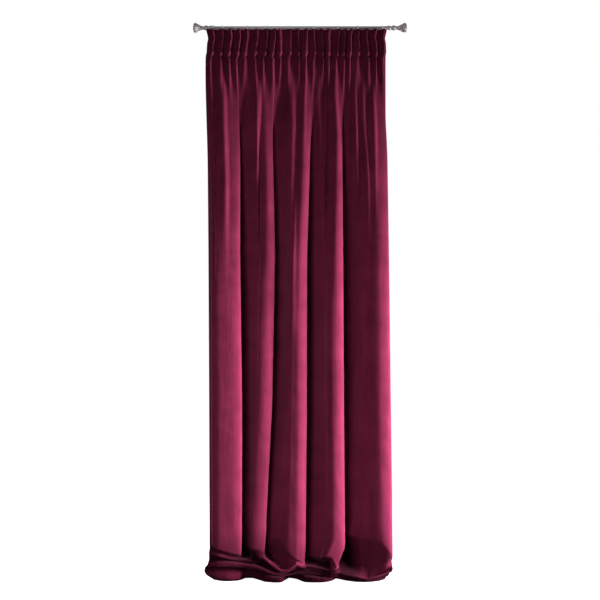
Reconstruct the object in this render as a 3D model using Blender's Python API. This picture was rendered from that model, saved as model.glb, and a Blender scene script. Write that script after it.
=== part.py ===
# A velvet curtain on a gathering tape, hung by rings from a slim metal rod with fluted finials.
# Metres, +Z up. The origin is the middle of the rod's axis, +X runs along the rod and the front faces -Y.

import math
from collections import namedtuple

import bmesh
import bpy
import numpy as np
from mathutils import Matrix, Vector

# Rod and finials
ROD_LENGTH = 0.794
ROD_RADIUS = 0.008
ROD_SIDES = 20
FLOOR_BELOW_ROD = 2.588
FINIAL_FLUTES = 12
FINIAL_FLUTE_DEPTH = 0.0014
GAP = 0.0004

# The finial's outline, from the rod's end outwards: distance, radius and how deep the flutes are cut
Station = namedtuple("Station", "along radius flute")
FINIAL_PROFILE = (
    Station(0.0, 0.0084, 0.0),
    Station(0.009, 0.0088, 0.0),
    Station(0.0145, 0.0098, 0.3),
    Station(0.026, 0.0102, 0.3),
    Station(0.0355, 0.0094, 0.0),
    Station(0.041, 0.0112, 0.3),
    Station(0.047, 0.0114, 0.3),
    Station(0.053, 0.0096, 0.0),
    Station(0.0585, 0.0086, 0.3),
    Station(0.069, 0.0112, 0.7),
    Station(0.081, 0.0172, 1.0),
    Station(0.0925, 0.0234, 1.0),
    Station(0.0965, 0.0238, 0.4),
    Station(0.1005, 0.0182, 0.0),
    Station(0.1045, 0.0060, 0.0),
)
NECK_RADIUS = 0.0104

# Rings and hooks
RING_RADIUS = 0.0132
RING_WIRE = 0.0016
EYE_RADIUS = 0.0042
EYE_WIRE = 0.0010
HOOK_WIRE = 0.0009
HOOK_TAIL = 0.0045
HOOK_DEPTH = 0.056
HOOK_BEHIND = 0.0125
RING_PLEATS = (0, 1, 4, 6, 9, 12, 15, 18, 21)

# Cloth
CLOTH_LENGTH = 2.80
CLOTH_THICKNESS = 0.002
CLOTH_LINE_Y = -0.022
TOP_EDGE_Z = -0.009
TOP_SCALLOP = 0.0012
COLUMNS_PER_PLEAT = 4

# Gathered heading. The millimetre tables move each pleat sideways, lean it and set its strength.
PLEATS = 22
HEADING_HALF = 0.418
HEADING_HEIGHT = 0.130
UPPER_CORD = 0.044
PLEAT_DEPTH = 0.011
PLEAT_SHARPNESS = 0.30
CREST_POWER = 1.5
CREST_LEAN = 0.003
CORD_PINCH = 0.005
BELOW_SHIFT = 0.006
END_SHIFT_MM = (-18, -18)
PLEAT_SHIFT_MM = (-12, -6, -6, -2, -7, 2, 11, 10, 0, 9, 9, 8, 8, 8, -2, 7, -3, -13, -13, -11, -10, -9)
PLEAT_LEAN_MM = (6, 9, 12, 10, 13, 14, 12, 14, -4, 2, -8, 4, -9, -8, -2, 6, 7, 3, -2, -9, -10, -4)
PLEAT_STRENGTH = (0.9, 1.0, 1.3, 1.2, 1.0, 0.9, 1.2, 1.4, 1.0, 0.8, 0.9, 1.2, 0.8, 1.0, 1.2, 0.9, 1.1, 1.3,
                  0.9, 1.2, 1.3, 1.0)

# Tape behind the heading
TAPE_THICKNESS = 0.001
TAPE_GAP = 0.0008

# Heights of the fold table's five columns of edge places, measured down from the rod
LEVELS = (0.46, 1.07, 1.78, 2.20, 2.44)
UPPER_LEVEL = 0.55
LOWER_LEVEL = 1.45

# One row for each main fold, from left to right. place is where its right edge lies across the flat
# cloth and edge_x where it hangs at each level. deep is the valley floor's width, ridge_at the small
# ridge's share of the way from valley to edge, band the width of the rounded right side and peak the
# share of it at which the fold stands highest. Each pair is for the upper and the lower level, and the
# depths are metres forward of the curtain's own line.
Fold = namedtuple("Fold", "place edge_x valley deep ridge_at ridge dip crest band peak")
FOLDS = (
    Fold(0.165, (-0.280, -0.280, -0.271, -0.271, -0.282), (-0.020, -0.030), 0.008, (0.12, 0.12), (0.004, 0.016),
         (0.018, 0.028), (0.036, 0.046), (0.104, 0.116), 0.70),
    Fold(0.343, (-0.131, -0.117, -0.131, -0.150, -0.206), (-0.040, -0.070), 0.014, (0.50, 0.48), (0.014, -0.004),
         (0.004, 0.012), (0.036, 0.052), (0.050, 0.056), 0.55),
    Fold(0.560, (0.050, 0.032, 0.032, 0.030, 0.025), (-0.044, -0.066), 0.018, (0.46, 0.40), (0.012, 0.012),
         (0.014, 0.034), (0.040, 0.052), (0.052, 0.056), 0.58),
    Fold(0.733, (0.195, 0.200, 0.204, 0.209, 0.186), (-0.050, -0.084), 0.022, (0.42, 0.42), (0.010, -0.020),
         (-0.002, 0.006), (0.038, 0.056), (0.046, 0.058), 0.55),
    Fold(0.984, (0.405, 0.414, 0.423, 0.428, 0.432), (-0.058, -0.090), 0.034, (0.30, 0.36), (0.006, -0.014),
         (0.006, 0.004), (0.036, 0.048), (0.076, 0.080), 0.60),
)
EDGE_OVERHANG = 0.010
EDGE_CLOTH = 0.026
VALLEY_STEP = 0.006
FOLD_CALM = 0.80
BAND_CLOTH = 0.90
FLOOR_CLOTH = 0.72

# Shares of a fold's own depths: of the valley at its floor's end and under the overhang, of the rise from
# dip to crest at the band's start, and of the crest at the edge
VALLEY_FLOOR = 0.88
UNDER_EDGE = 0.35
SHOULDER = 0.70
AT_EDGE = 0.42

# Shares of the cloth between valley and band at which the ridge and the dip lie
RIDGE_CLOTH = 0.48
DIP_CLOTH = 0.72

# The pleats fade into the main folds between these distances down the cloth
GATHER_START = 0.10
GATHER_END = 0.62
LEFT_EDGE_X = (-0.434, -0.430, -0.427, -0.425, -0.425)

# Soft folds that run out of the heading and die away lower down: x of the right edge at three heights
# below the rod, how far each stands forward, how wide it is and how far down the cloth it ends
SoftFold = namedtuple("SoftFold", "edge_x height width end")
SOFT_LEVELS = (0.19, 0.46, 0.70)
SOFT_GROWTH = 1.35
SOFT_FOLDS = (
    SoftFold((-0.416, -0.408, -0.398), 0.007, 0.024, 1.50),
    SoftFold((-0.358, -0.352, -0.343), 0.012, 0.040, 1.20),
    SoftFold((-0.236, -0.226, -0.222), 0.008, 0.030, 0.80),
    SoftFold((-0.188, -0.194, -0.201), 0.013, 0.036, 1.10),
    SoftFold((-0.041, -0.029, -0.034), 0.009, 0.050, 1.60),
    SoftFold((0.022, 0.020, 0.012), 0.006, 0.034, 0.70),
    SoftFold((0.085, 0.094, 0.088), 0.012, 0.036, 0.95),
    SoftFold((0.116, 0.120, 0.130), 0.006, 0.020, 0.45),
    SoftFold((0.154, 0.176, 0.186), 0.011, 0.034, 0.70),
    SoftFold((0.229, 0.240, 0.250), 0.006, 0.022, 0.60),
    SoftFold((0.255, 0.262, 0.266), 0.010, 0.026, 0.90),
    SoftFold((0.292, 0.302, 0.317), 0.010, 0.032, 1.30),
    SoftFold((0.336, 0.350, 0.352), 0.008, 0.030, 0.95),
)

# How the cloth meets the floor, one row for each place across it. Heights are above the floor: where the
# straight fall ends, of the hollow, the lip, the middle roll and the lowest roll. back is how far the
# hollow goes in; front, mid_out and foot say how far forward of the rod the lip and the two rolls come.
Hem = namedtuple("Hem", "place fall back hollow lip front mid mid_out roll foot")
HEM = (
    Hem(0.00, 0.170, 0.004, 0.150, 0.134, 0.030, 0.078, 0.050, 0.030, 0.020),
    Hem(0.05, 0.160, 0.008, 0.140, 0.128, 0.066, 0.080, 0.076, 0.034, 0.046),
    Hem(0.10, 0.140, 0.010, 0.125, 0.114, 0.072, 0.084, 0.080, 0.036, 0.050),
    Hem(0.15, 0.125, 0.010, 0.112, 0.103, 0.070, 0.088, 0.080, 0.036, 0.036),
    Hem(0.19, 0.140, 0.010, 0.112, 0.098, 0.030, 0.086, 0.080, 0.034, -0.010),
    Hem(0.25, 0.150, 0.010, 0.112, 0.094, 0.030, 0.080, 0.080, 0.030, -0.012),
    Hem(0.31, 0.150, 0.006, 0.118, 0.104, 0.060, 0.070, 0.080, 0.026, 0.015),
    Hem(0.345, 0.135, 0.004, 0.118, 0.106, 0.066, 0.060, 0.080, 0.022, 0.040),
    Hem(0.385, 0.150, 0.030, 0.100, 0.080, 0.072, 0.045, 0.076, 0.020, 0.050),
    Hem(0.433, 0.200, 0.040, 0.110, 0.056, 0.072, 0.034, 0.062, 0.016, 0.052),
    Hem(0.475, 0.165, 0.034, 0.100, 0.062, 0.072, 0.036, 0.056, 0.016, -0.020),
    Hem(0.515, 0.115, 0.010, 0.098, 0.086, 0.070, 0.044, 0.056, 0.018, 0.000),
    Hem(0.56, 0.086, 0.002, 0.078, 0.072, 0.068, 0.042, 0.056, 0.020, 0.040),
    Hem(0.60, 0.090, 0.012, 0.080, 0.068, 0.062, 0.040, 0.056, 0.020, 0.052),
    Hem(0.66, 0.110, 0.040, 0.080, 0.056, 0.050, 0.032, 0.046, 0.018, 0.040),
    Hem(0.70, 0.120, 0.030, 0.070, 0.046, 0.056, 0.026, 0.046, 0.016, 0.016),
    Hem(0.725, 0.070, 0.004, 0.058, 0.050, 0.074, 0.028, 0.056, 0.014, -0.010),
    Hem(0.74, 0.100, 0.010, 0.070, 0.050, 0.076, 0.026, 0.056, 0.014, 0.000),
    Hem(0.77, 0.205, 0.040, 0.095, 0.036, 0.074, 0.020, 0.056, 0.012, 0.025),
    Hem(0.82, 0.200, 0.048, 0.090, 0.026, 0.072, 0.014, 0.056, 0.008, 0.046),
    Hem(0.88, 0.190, 0.048, 0.080, 0.018, 0.074, 0.010, 0.060, 0.006, 0.054),
    Hem(0.93, 0.195, 0.040, 0.080, 0.028, 0.074, 0.016, 0.058, 0.010, 0.046),
    Hem(0.97, 0.130, 0.015, 0.080, 0.044, 0.070, 0.022, 0.055, 0.014, 0.035),
    Hem(1.00, 0.100, 0.004, 0.080, 0.060, 0.060, 0.030, 0.045, 0.018, 0.010),
)
HEM_START = 0.100
LEFT_BULGE = 0.022
BULGE_HEIGHT = 0.048
BULGE_WIDTH = 0.028
LEFT_ROUND = 0.024
LEFT_ROUND_HEIGHT = 0.035
RIGHT_ROUND = 0.050
RIGHT_ROUND_HEIGHT = 0.075
CRISPNESS = 0.75
GROOVE = 0.026

# Distances down the cloth of the rows in its straight fall; the tape's rows are among them
TAPE_ROWS = (0.040, 0.062, 0.084, 0.106, 0.130)
FALL_ROWS = (0.0, 0.020) + TAPE_ROWS + (0.150, 0.20, 0.30, 0.44, 0.65, 0.95, 1.35, 1.80, 2.12)
STRAIGHT_FALL = 2.36
STRETCH_FROM = 1.20

# Rows through the hem, one for each named point of its curve
HEM_ROWS = tuple(float(row) for row in range(16))


def smooth(low, high, value):
    share = np.clip((np.asarray(value) - low) / (high - low), 0.0, 1.0)
    return share * share * (3.0 - 2.0 * share)


# A smooth curve through rows of values: knots rise, values has a row for each knot.
def curve_through(knots, values, at):
    knots = np.asarray(knots, float)
    values = np.asarray(values, float)
    slopes = np.gradient(values, knots, axis=0)
    index = np.clip(np.searchsorted(knots, at) - 1, 0, len(knots) - 2)
    span = knots[index + 1] - knots[index]
    share = (at - knots[index]) / span
    if values.ndim > 1:
        span = span[:, None]
        share = share[:, None]
    start = (1 + 2 * share) * (1 - share) ** 2 * values[index]
    start = start + share * (1 - share) ** 2 * span * slopes[index]
    end = share**2 * (3 - 2 * share) * values[index + 1]
    return start + end + share**2 * (share - 1) * span * slopes[index + 1]


# The horizontal section at one height: across places, x and depth forward.
def fold_section(place, below_rod):
    low = float(smooth(UPPER_LEVEL, LOWER_LEVEL, below_rod))
    places, points = [0.0], []
    start_x, start_place = np.interp(below_rod, LEVELS, LEFT_EDGE_X), 0.0
    for fold in FOLDS:
        edge = np.interp(below_rod, LEVELS, fold.edge_x)
        pairs = (fold.valley, fold.ridge_at, fold.ridge, fold.dip, fold.crest, fold.band)
        valley, ridge_at, ridge, dip, crest, band = (a + (b - a) * low for a, b in pairs)
        crest_x = edge - band
        crest_place = fold.place - band * BAND_CLOTH
        peak_place = fold.place - (fold.place - crest_place) * (fold.peak + 0.05)
        ridge_x = start_x + (edge - start_x) * ridge_at
        points.append((start_x, valley))
        points.append((start_x + fold.deep, valley * VALLEY_FLOOR))
        points.append((ridge_x, ridge))
        points.append((ridge_x + (crest_x - ridge_x) * 0.5, dip))
        points.append((crest_x, dip + SHOULDER * (crest - dip)))
        points.append((edge - band * fold.peak, crest))
        points.append((edge, crest * AT_EDGE))
        points.append((edge - EDGE_OVERHANG, valley * UNDER_EDGE))
        flat = crest_place - start_place
        places.append(start_place + fold.deep * FLOOR_CLOTH)
        places += [start_place + flat * RIDGE_CLOTH, start_place + flat * DIP_CLOTH, crest_place]
        places += [peak_place, fold.place, fold.place + EDGE_CLOTH, fold.place + 2 * EDGE_CLOTH]
        start_x = edge + VALLEY_STEP
        start_place = fold.place + 2 * EDGE_CLOTH
    places = np.array(places[:-1])
    keep = places <= 1.02
    result = curve_through(places[keep], np.array(points)[keep], place)
    return result[:, 0], result[:, 1]


# The gathered heading: how far its pleats shift sideways and stand forward at one distance down.
def pleat_wave(place, down):
    phase = 2 * math.pi * PLEATS * place
    centres = (np.arange(PLEATS) + 0.5) / PLEATS
    shifts = np.array(END_SHIFT_MM[:1] + PLEAT_SHIFT_MM + END_SHIFT_MM[1:]) / 1000
    spacing = 2 * HEADING_HALF / PLEATS
    in_heading = 1.0 - smooth(HEADING_HEIGHT, HEADING_HEIGHT + 0.50, down)
    shift = np.interp(place, np.concatenate(((0.0,), centres, (1.0,))), shifts) * in_heading
    lean = np.interp(place, centres, np.array(PLEAT_LEAN_MM) / 1000)
    shift = shift + lean * (0.55 - min(down / HEADING_HEIGHT, 1.0)) * in_heading
    sharp = PLEAT_SHARPNESS * spacing / (2 * math.pi)
    power = 1.0 + (CREST_POWER - 1.0) * float(1.0 - smooth(HEADING_HEIGHT, HEADING_HEIGHT + 0.05, down))
    crest = ((1.0 - np.cos(phase)) / 2) ** power
    strength = np.interp(place, centres, PLEAT_STRENGTH)
    below = smooth(HEADING_HEIGHT - 0.004, HEADING_HEIGHT + 0.012, down)
    sideways = CREST_LEAN * crest - BELOW_SHIFT * below * np.sin(15 * math.pi * place)
    return shift + (sharp * np.sin(phase) + sideways) * in_heading, PLEAT_DEPTH * (2 * crest * strength - 1)


def bump(down, centre, width):
    return math.exp(-(((down - centre) / width) ** 2))


# How strongly the pleats show, and how far the lower cord of the tape pulls the cloth back.
def pleat_strength(down):
    near_cords = 0.30 * bump(down, HEADING_HEIGHT - 0.014, 0.009) - 0.20 * bump(down, UPPER_CORD, 0.010)
    below = smooth(HEADING_HEIGHT - 0.02, 0.50, down)
    return (1.0 + near_cords) * (1.0 - below) ** 1.3


def cord_pinch(down):
    return CORD_PINCH * bump(down, HEADING_HEIGHT, 0.0055) - 0.003 * bump(down, HEADING_HEIGHT - 0.016, 0.010)


# The soft folds' push forward at each x: a slow rise to the edge, then a quick fall.
def soft_depth(x, down, below_rod):
    depth = np.zeros_like(x)
    grown = SOFT_GROWTH * smooth(HEADING_HEIGHT, 0.24, down)
    for fold in SOFT_FOLDS:
        edge = np.interp(below_rod, SOFT_LEVELS, fold.edge_x)
        along = (x - edge) / fold.width
        shape = smooth(-1.0, -0.08, along) * (1.0 - smooth(0.0, 0.30, along))
        depth += fold.height * shape * grown * (1.0 - smooth(0.45 * fold.end, fold.end, down))
    return depth


# The lower end of one column of cloth, from the straight fall over the lip and the two rolls to the hem
# tucked under them on the floor: distances forward and heights above the floor at the rows asked for.
def hem_curve(base, hem, rows):
    fall, back, hollow, lip, front, mid, mid_out, roll, foot = hem
    contact = CLOTH_THICKNESS / 2
    points = np.array((
        (base, fall + HEM_START),
        (base, fall + 0.012),
        (base - 0.03 * back, fall - 0.002),
        (base - 0.50 * back, fall - 0.46 * (fall - hollow)),
        (base - back, hollow),
        (front - 0.012, lip + 0.004),
        (front, lip),
        (front - 0.006, lip - 0.4 * (lip - mid)),
        (0.5 * (front + mid_out) - GROOVE, mid + 0.25 * (lip - mid)),
        (mid_out, mid),
        (mid_out - 0.010, mid - 0.3 * (mid - roll)),
        (0.5 * (mid_out + foot) - GROOVE, roll + 0.25 * (mid - roll)),
        (foot + 0.012, roll),
        (foot + 0.006, 0.3 * roll),
        (foot - 0.010, contact),
        (foot - 0.045, contact),
    ))
    reach = np.concatenate(((0.0,), np.cumsum(np.hypot(*np.diff(points, axis=0).T))))
    path = curve_through(reach, points, np.interp(rows, range(len(points)), reach))
    path[:, 1] = np.maximum(path[:, 1], contact)
    return path


# The top edge is drawn up a little at each ring and sags between two rings.
def top_scallop(places):
    ring_places = [(pleat + 0.5) / PLEATS for pleat in RING_PLEATS]
    knots, lifts = [], []
    for start, end in zip(ring_places[:-1], ring_places[1:]):
        knots += [start, (start + end) / 2]
        lifts += [TOP_SCALLOP, -TOP_SCALLOP]
    return np.interp(places, knots + [ring_places[-1]], lifts + [TOP_SCALLOP])


# Every point of the cloth's middle surface: rows go down the cloth, columns across it.
def cloth_surface(places, fall_rows, hem_rows):
    knots = [hem.place for hem in HEM]
    values = np.array([hem[1:] for hem in HEM])
    soft = curve_through(knots, values, places)
    crisp = np.stack([np.interp(places, knots, column) for column in values.T], axis=1)
    hems = soft + (crisp - soft) * CRISPNESS
    fall = fall_surface(places, hems, fall_rows)
    return np.concatenate((fall, hem_surface(places, hems, hem_rows)))


def fall_surface(places, hems, fall_rows):
    starts = FLOOR_BELOW_ROD - HEM_START - hems[:, 0] + TOP_EDGE_Z
    fall = np.zeros((len(fall_rows), len(places), 3))
    for row, down in enumerate(fall_rows):
        fall[row, :, 0], fall[row, :, 1] = hanging_section(places, down)
        lower = smooth(STRETCH_FROM, STRAIGHT_FALL, down)
        hang = TOP_EDGE_Z - down - lower * (starts - STRAIGHT_FALL)
        fall[row, :, 2] = top_scallop(places) * (1.0 - smooth(0.0, 0.25, down)) + hang
    return fall


# Where the cloth hangs at one distance down it: x and y at each place.
def hanging_section(places, down):
    below_rod = down - TOP_EDGE_Z
    fold_x, fold_depth = fold_section(places, min(below_rod, LEVELS[-1]))
    gathered = 1.0 - smooth(GATHER_START, GATHER_END, down)
    head_x = (2 * places - 1) * HEADING_HALF
    pleat_x, pleat_depth = pleat_wave(places, down)
    flare = 0.006 * bump(down, 0.0, 0.02) - 0.004 * bump(down, UPPER_CORD, 0.015)
    x = fold_x + (head_x * (1 + flare / HEADING_HALF) - fold_x) * gathered + pleat_x
    calm = 1.0 - (1.0 - FOLD_CALM) * smooth(1.9, 2.5, below_rod)
    depth = fold_depth * (1.0 - gathered) * calm + pleat_depth * pleat_strength(down) - cord_pinch(down)
    return x, CLOTH_LINE_Y - depth - soft_depth(x, down, below_rod)


def hem_surface(places, hems, hem_rows):
    spread_x = np.interp(places, [0.0] + [f.place for f in FOLDS[:-1]] + [1.0],
                         [LEFT_EDGE_X[-1]] + [f.edge_x[-1] for f in FOLDS])
    left = 1.0 - smooth(0.0, 0.13, places)
    right = smooth(0.80, 1.0, places)
    base_y = hanging_section(places, CLOTH_LENGTH)[1]
    surface = np.zeros((len(hem_rows), len(places), 3))
    for column in range(len(places)):
        path = hem_curve(-base_y[column], hems[column], hem_rows)
        surface[:, column, 1:] = path * (-1.0, 1.0)
    for row in range(len(hem_rows)):
        height = surface[row, :, 2]
        down = FLOOR_BELOW_ROD + TOP_EDGE_Z - np.mean(height)
        x, y = hanging_section(places, down)
        bulge = np.exp(-(((height - BULGE_HEIGHT) / BULGE_WIDTH) ** 2))
        under_left = 1.0 - smooth(0.0, LEFT_ROUND_HEIGHT, height)
        under_right = 1.0 - smooth(0.0, RIGHT_ROUND_HEIGHT, height)
        x = x + (spread_x - x) * smooth(2.0, 5.0, hem_rows[row])
        x = x + (LEFT_ROUND * under_left - LEFT_BULGE * bulge) * left - RIGHT_ROUND * under_right * right
        surface[row, :, 0] = x
        surface[row, :, 1] += (y - base_y) * smooth(2.0, 0.0, hem_rows[row])
        surface[row, :, 2] -= FLOOR_BELOW_ROD
    return surface


def material(name, colour, roughness, metallic):
    made = bpy.data.materials.new(name)
    made.use_nodes = True
    shader = made.node_tree.nodes["Principled BSDF"]
    shader.inputs["Base Color"].default_value = (*colour, 1.0)
    shader.inputs["Roughness"].default_value = roughness
    shader.inputs["Metallic"].default_value = metallic
    return made


def add_object(name, mesh, made_of):
    thing = bpy.data.objects.new(name, mesh)
    bpy.context.scene.collection.objects.link(thing)
    mesh.materials.append(made_of)
    return thing


def finish_mesh(name, shape):
    mesh = bpy.data.meshes.new(name)
    shape.to_mesh(mesh)
    shape.free()
    mesh.shade_smooth()
    return mesh


# A grid whose points are the rows and columns of a surface, facing the front.
def grid_mesh(name, surface):
    rows, columns = surface.shape[:2]
    shape = bmesh.new()
    bmesh.ops.create_grid(shape, x_segments=columns - 1, y_segments=rows - 1, size=1.0)
    shape.verts.ensure_lookup_table()
    for index, vert in enumerate(shape.verts):
        vert.co = surface[index // columns, index % columns]
    shape.normal_update()
    if sum(face.normal.y for face in shape.faces) > 0:
        bmesh.ops.reverse_faces(shape, faces=shape.faces)
    return finish_mesh(name, shape)


def solidify(thing, thickness):
    wall = thing.modifiers.new("thickness", "SOLIDIFY")
    wall.thickness = thickness
    wall.offset = 0.0


def build_panel(velvet):
    places = np.linspace(0.0, 1.0, PLEATS * COLUMNS_PER_PLEAT + 1)
    surface = cloth_surface(places, FALL_ROWS, HEM_ROWS)
    panel = add_object("curtain_panel", grid_mesh("curtain_panel", surface), velvet)
    solidify(panel, CLOTH_THICKNESS)
    return panel


# The gathering tape lies on the back of the pleats, following the panel's own points.
def build_tape(panel, woven):
    columns = PLEATS * COLUMNS_PER_PLEAT + 1
    offset = CLOTH_THICKNESS / 2 + TAPE_GAP + TAPE_THICKNESS / 2
    surface = np.zeros((len(TAPE_ROWS), columns - 2, 3))
    for row, down in enumerate(TAPE_ROWS):
        start = FALL_ROWS.index(down) * columns
        for column in range(1, columns - 1):
            point = panel.data.vertices[start + column]
            surface[row, column - 1] = point.co - point.normal * offset
    tape = add_object("gathering_tape", grid_mesh("gathering_tape", surface), woven)
    solidify(tape, TAPE_THICKNESS)
    return tape


def build_rod(steel):
    shape = bmesh.new()
    bmesh.ops.create_cone(shape, cap_ends=True, segments=ROD_SIDES, radius1=ROD_RADIUS, radius2=ROD_RADIUS,
                          depth=ROD_LENGTH)
    mesh = finish_mesh("rod", shape)
    mesh.set_sharp_from_angle(angle=math.radians(40))
    rod = add_object("rod", mesh, steel)
    rod.rotation_euler = (0.0, math.pi / 2, 0.0)


# A finial is turned from its collar outwards, with flutes down the trumpet.
def build_finial(name, side, steel):
    sides = FINIAL_FLUTES * 2
    shape = bmesh.new()
    bmesh.ops.create_circle(shape, cap_ends=True, segments=sides, radius=FINIAL_PROFILE[0].radius)
    edges = list(shape.edges)
    for station in FINIAL_PROFILE[1:]:
        made = bmesh.ops.extrude_edge_only(shape, edges=edges)["geom"]
        edges = [part for part in made if isinstance(part, bmesh.types.BMEdge)]
        for vert in (part for part in made if isinstance(part, bmesh.types.BMVert)):
            turn = math.atan2(vert.co.y, vert.co.x)
            radius = station.radius + station.flute * FINIAL_FLUTE_DEPTH * math.cos(FINIAL_FLUTES * turn)
            vert.co = Vector((radius * math.cos(turn), radius * math.sin(turn), station.along))
    bmesh.ops.holes_fill(shape, edges=edges, sides=sides)
    bmesh.ops.recalc_face_normals(shape, faces=shape.faces)
    mesh = finish_mesh(name, shape)
    mesh.set_sharp_from_angle(angle=math.radians(50))
    finial = add_object(name, mesh, steel)
    finial.location = (side * (ROD_LENGTH / 2 + GAP), 0.0, 0.0)
    finial.rotation_euler = (0.0, side * math.pi / 2, 0.0)


# A wire hoop round an axis, made by spinning the wire's circle.
def hoop(radius, wire, axis, centre, steps, sides):
    shape = bmesh.new()
    start = Vector((0.0, 0.0, radius))
    across = Matrix.Rotation(math.pi / 2, 4, "Y") if axis == "Y" else Matrix.Rotation(math.pi / 2, 4, "X")
    turn_axis = Vector((0.0, 1.0, 0.0)) if axis == "Y" else Vector((1.0, 0.0, 0.0))
    bmesh.ops.create_circle(shape, segments=sides, radius=wire, matrix=Matrix.Translation(start) @ across)
    bmesh.ops.spin(shape, geom=shape.verts[:] + shape.edges[:], cent=(0.0, 0.0, 0.0), axis=turn_axis,
                   angle=2 * math.pi, steps=steps, use_merge=True, use_duplicate=False)
    bmesh.ops.remove_doubles(shape, verts=shape.verts, dist=0.00002)
    bmesh.ops.translate(shape, verts=shape.verts, vec=centre)
    bmesh.ops.recalc_face_normals(shape, faces=shape.faces)
    return shape


# One ring with its small eye below, joined into one body, is shared by every ring on the rod.
def ring_mesh():
    ring = bpy.data.objects.new("ring_blank", finish_mesh("ring_blank", hoop(
        RING_RADIUS, RING_WIRE, "X", (0.0, 0.0, 0.0), 14, 5)))
    eye = bpy.data.objects.new("eye_blank", finish_mesh("eye_blank", hoop(
        EYE_RADIUS, EYE_WIRE, "Y", (0.0, 0.0, -RING_RADIUS - EYE_RADIUS), 8, 4)))
    for blank in (ring, eye):
        blank.hide_render = True
        blank.display_type = "WIRE"
        bpy.context.scene.collection.objects.link(blank)
    union = ring.modifiers.new("eye", "BOOLEAN")
    union.operation = "UNION"
    union.object = eye
    graph = bpy.context.evaluated_depsgraph_get()
    mesh = bpy.data.meshes.new_from_object(ring.evaluated_get(graph))
    mesh.name = "ring"
    for blank in (ring, eye):
        bpy.data.objects.remove(blank)
    return mesh


def build_rings(steel):
    mesh = ring_mesh()
    mesh.materials.clear()
    mesh.materials.append(steel)
    places = np.array([(pleat + 0.5) / PLEATS for pleat in RING_PLEATS])
    downs = (0.0, 0.016, 0.030, 0.044, HOOK_DEPTH)
    left, crests, right = (cloth_surface(places + step / PLEATS, downs, HEM_ROWS)[:len(downs)]
                           for step in (-0.25, 0.0, 0.25))
    crests[:, :, 0] = (left[:, :, 0] + right[:, :, 0]) / 2
    for number in range(len(RING_PLEATS)):
        ring = bpy.data.objects.new(f"ring_{number + 1}", mesh)
        bpy.context.scene.collection.objects.link(ring)
        x = crests[2, number, 0]
        on_neck = abs(x) + RING_WIRE > ROD_LENGTH / 2
        rest = (NECK_RADIUS if on_neck else ROD_RADIUS) + GAP - (RING_RADIUS - RING_WIRE)
        ring.location = (x, 0.0, rest)
        build_hook(f"hook_{number + 1}", crests[:, number], rest, steel)


# A hook of bent wire goes through the eye and down behind the pleat, flat against the tape.
def build_hook(name, crest, rest, steel):
    eye = rest - RING_RADIUS - EYE_RADIUS
    top = eye - EYE_RADIUS + EYE_WIRE + HOOK_WIRE + GAP
    x = crest[2, 0]
    route = [(x, HOOK_TAIL, top - 0.006), (x, HOOK_TAIL * 0.8, top - 0.0016), (x, 0.0, top)]
    route += [(x, -HOOK_TAIL, top - 0.0014)]
    for point in crest[2:]:
        route.append((point[0], point[1] + HOOK_BEHIND, point[2]))
    curve = bpy.data.curves.new(name, "CURVE")
    curve.dimensions = "3D"
    curve.bevel_depth = HOOK_WIRE
    curve.bevel_resolution = 1
    curve.use_fill_caps = True
    spline = curve.splines.new("POLY")
    spline.points.add(len(route) - 1)
    for place, point in zip(spline.points, route):
        place.co = (*point, 1.0)
    curve.materials.append(steel)
    hook = bpy.data.objects.new(name, curve)
    bpy.context.scene.collection.objects.link(hook)


def main():
    for thing in list(bpy.data.objects):
        bpy.data.objects.remove(thing)
    velvet = material("burgundy velvet", (0.16, 0.012, 0.045), 0.85, 0.0)
    woven = material("gathering tape", (0.30, 0.05, 0.10), 0.80, 0.0)
    steel = material("brushed nickel", (0.52, 0.51, 0.49), 0.32, 1.0)
    bright = material("polished nickel", (0.62, 0.61, 0.60), 0.20, 1.0)
    panel = build_panel(velvet)
    build_tape(panel, woven)
    build_rod(steel)
    build_finial("finial_left", -1, steel)
    build_finial("finial_right", 1, steel)
    build_rings(bright)


if __name__ == "__main__":
    main()
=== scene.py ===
import math
from collections import namedtuple

import bmesh
import bpy
import numpy as np
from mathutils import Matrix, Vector


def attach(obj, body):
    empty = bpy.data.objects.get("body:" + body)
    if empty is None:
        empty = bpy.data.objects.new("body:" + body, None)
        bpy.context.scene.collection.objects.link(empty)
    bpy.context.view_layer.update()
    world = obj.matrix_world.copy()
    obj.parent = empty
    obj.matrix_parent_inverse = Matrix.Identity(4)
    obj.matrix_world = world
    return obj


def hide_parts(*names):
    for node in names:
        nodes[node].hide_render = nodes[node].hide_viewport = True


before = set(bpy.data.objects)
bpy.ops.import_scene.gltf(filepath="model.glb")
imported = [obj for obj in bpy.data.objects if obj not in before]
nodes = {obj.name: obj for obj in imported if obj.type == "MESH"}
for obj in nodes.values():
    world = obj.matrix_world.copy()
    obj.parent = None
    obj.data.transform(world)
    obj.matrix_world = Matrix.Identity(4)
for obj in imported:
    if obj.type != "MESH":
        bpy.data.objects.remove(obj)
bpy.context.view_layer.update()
print("frame loaded:", len(nodes), "nodes")

# Camera: level, square to the curtain, as far off as the photo's perspective asks
shot = {"distance": 5.5, "height": -1.277, "lens": 70.29}
cameraData = bpy.data.cameras.new("camera")
cameraData.lens = shot["lens"]
camera = bpy.data.objects.new("camera", cameraData)
bpy.context.scene.collection.objects.link(camera)
camera.location = (0.0, -shot["distance"], shot["height"])
camera.rotation_euler = (math.pi / 2, 0.0, 0.0)
bpy.context.scene.camera = camera

# The rod's middle is the origin, and the floor lies this far under it
floorDrop = 2.588


def smooth(low, high, value):
    share = np.clip((np.asarray(value) - low) / (high - low), 0.0, 1.0)
    return share * share * (3.0 - 2.0 * share)


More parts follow.
